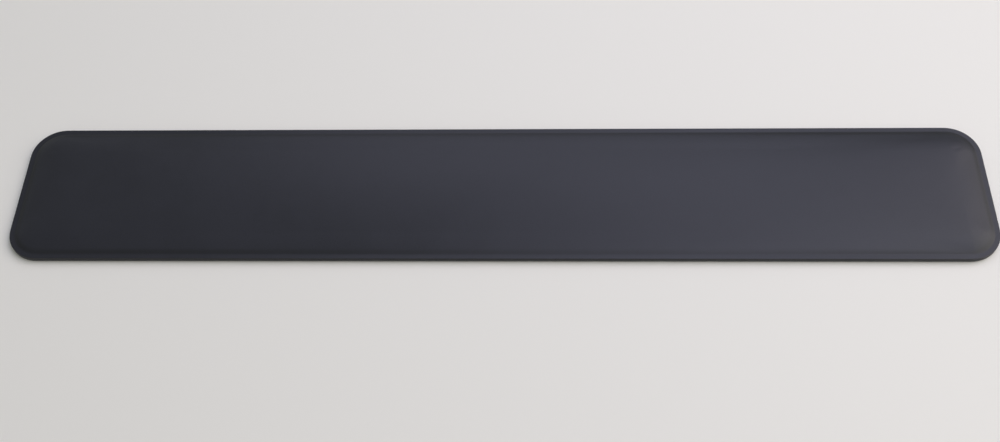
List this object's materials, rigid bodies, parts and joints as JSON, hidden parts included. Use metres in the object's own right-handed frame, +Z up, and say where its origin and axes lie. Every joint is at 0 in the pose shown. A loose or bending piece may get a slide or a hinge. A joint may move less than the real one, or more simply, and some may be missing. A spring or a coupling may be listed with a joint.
{
  "type": "wrist rest",
  "caption": "Slim padded keyboard wrist rest: a long rounded rectangle with a smooth leatherette cushion, a thin flat rim all round and rubber feet underneath.",
  "frame": {"origin": "on the desk, under the middle of the rest", "axes": "+X along the rest's length, +Y from the user towards the keyboard, +Z up"},
  "size_m": [0.42, 0.067, 0.0055],
  "materials": {
    "leatherette": "smooth matte soft-touch leatherette, dark slate grey",
    "foam": "fine-celled polyurethane foam",
    "adhesive_film": "thin translucent adhesive film",
    "steel_plate": "zinc-coated sheet steel",
    "base_plastic": "finely textured moulded plastic, near black",
    "foot_rubber": "matte black rubber"
  },
  "bodies": {
    "root": {"cover_skin": "leatherette", "foam_core": "foam", "foam_bond_film": "adhesive_film", "stiffener_plate": "steel_plate", "plate_bond_film": "adhesive_film", "rim_bond_ring": "adhesive_film", "base_sheet": "base_plastic", "foot_front_left": "foot_rubber", "foot_front_middle": "foot_rubber", "foot_front_right": "foot_rubber", "foot_rear_left": "foot_rubber", "foot_rear_middle": "foot_rubber", "foot_rear_right": "foot_rubber"}
  },
  "joints": []
}
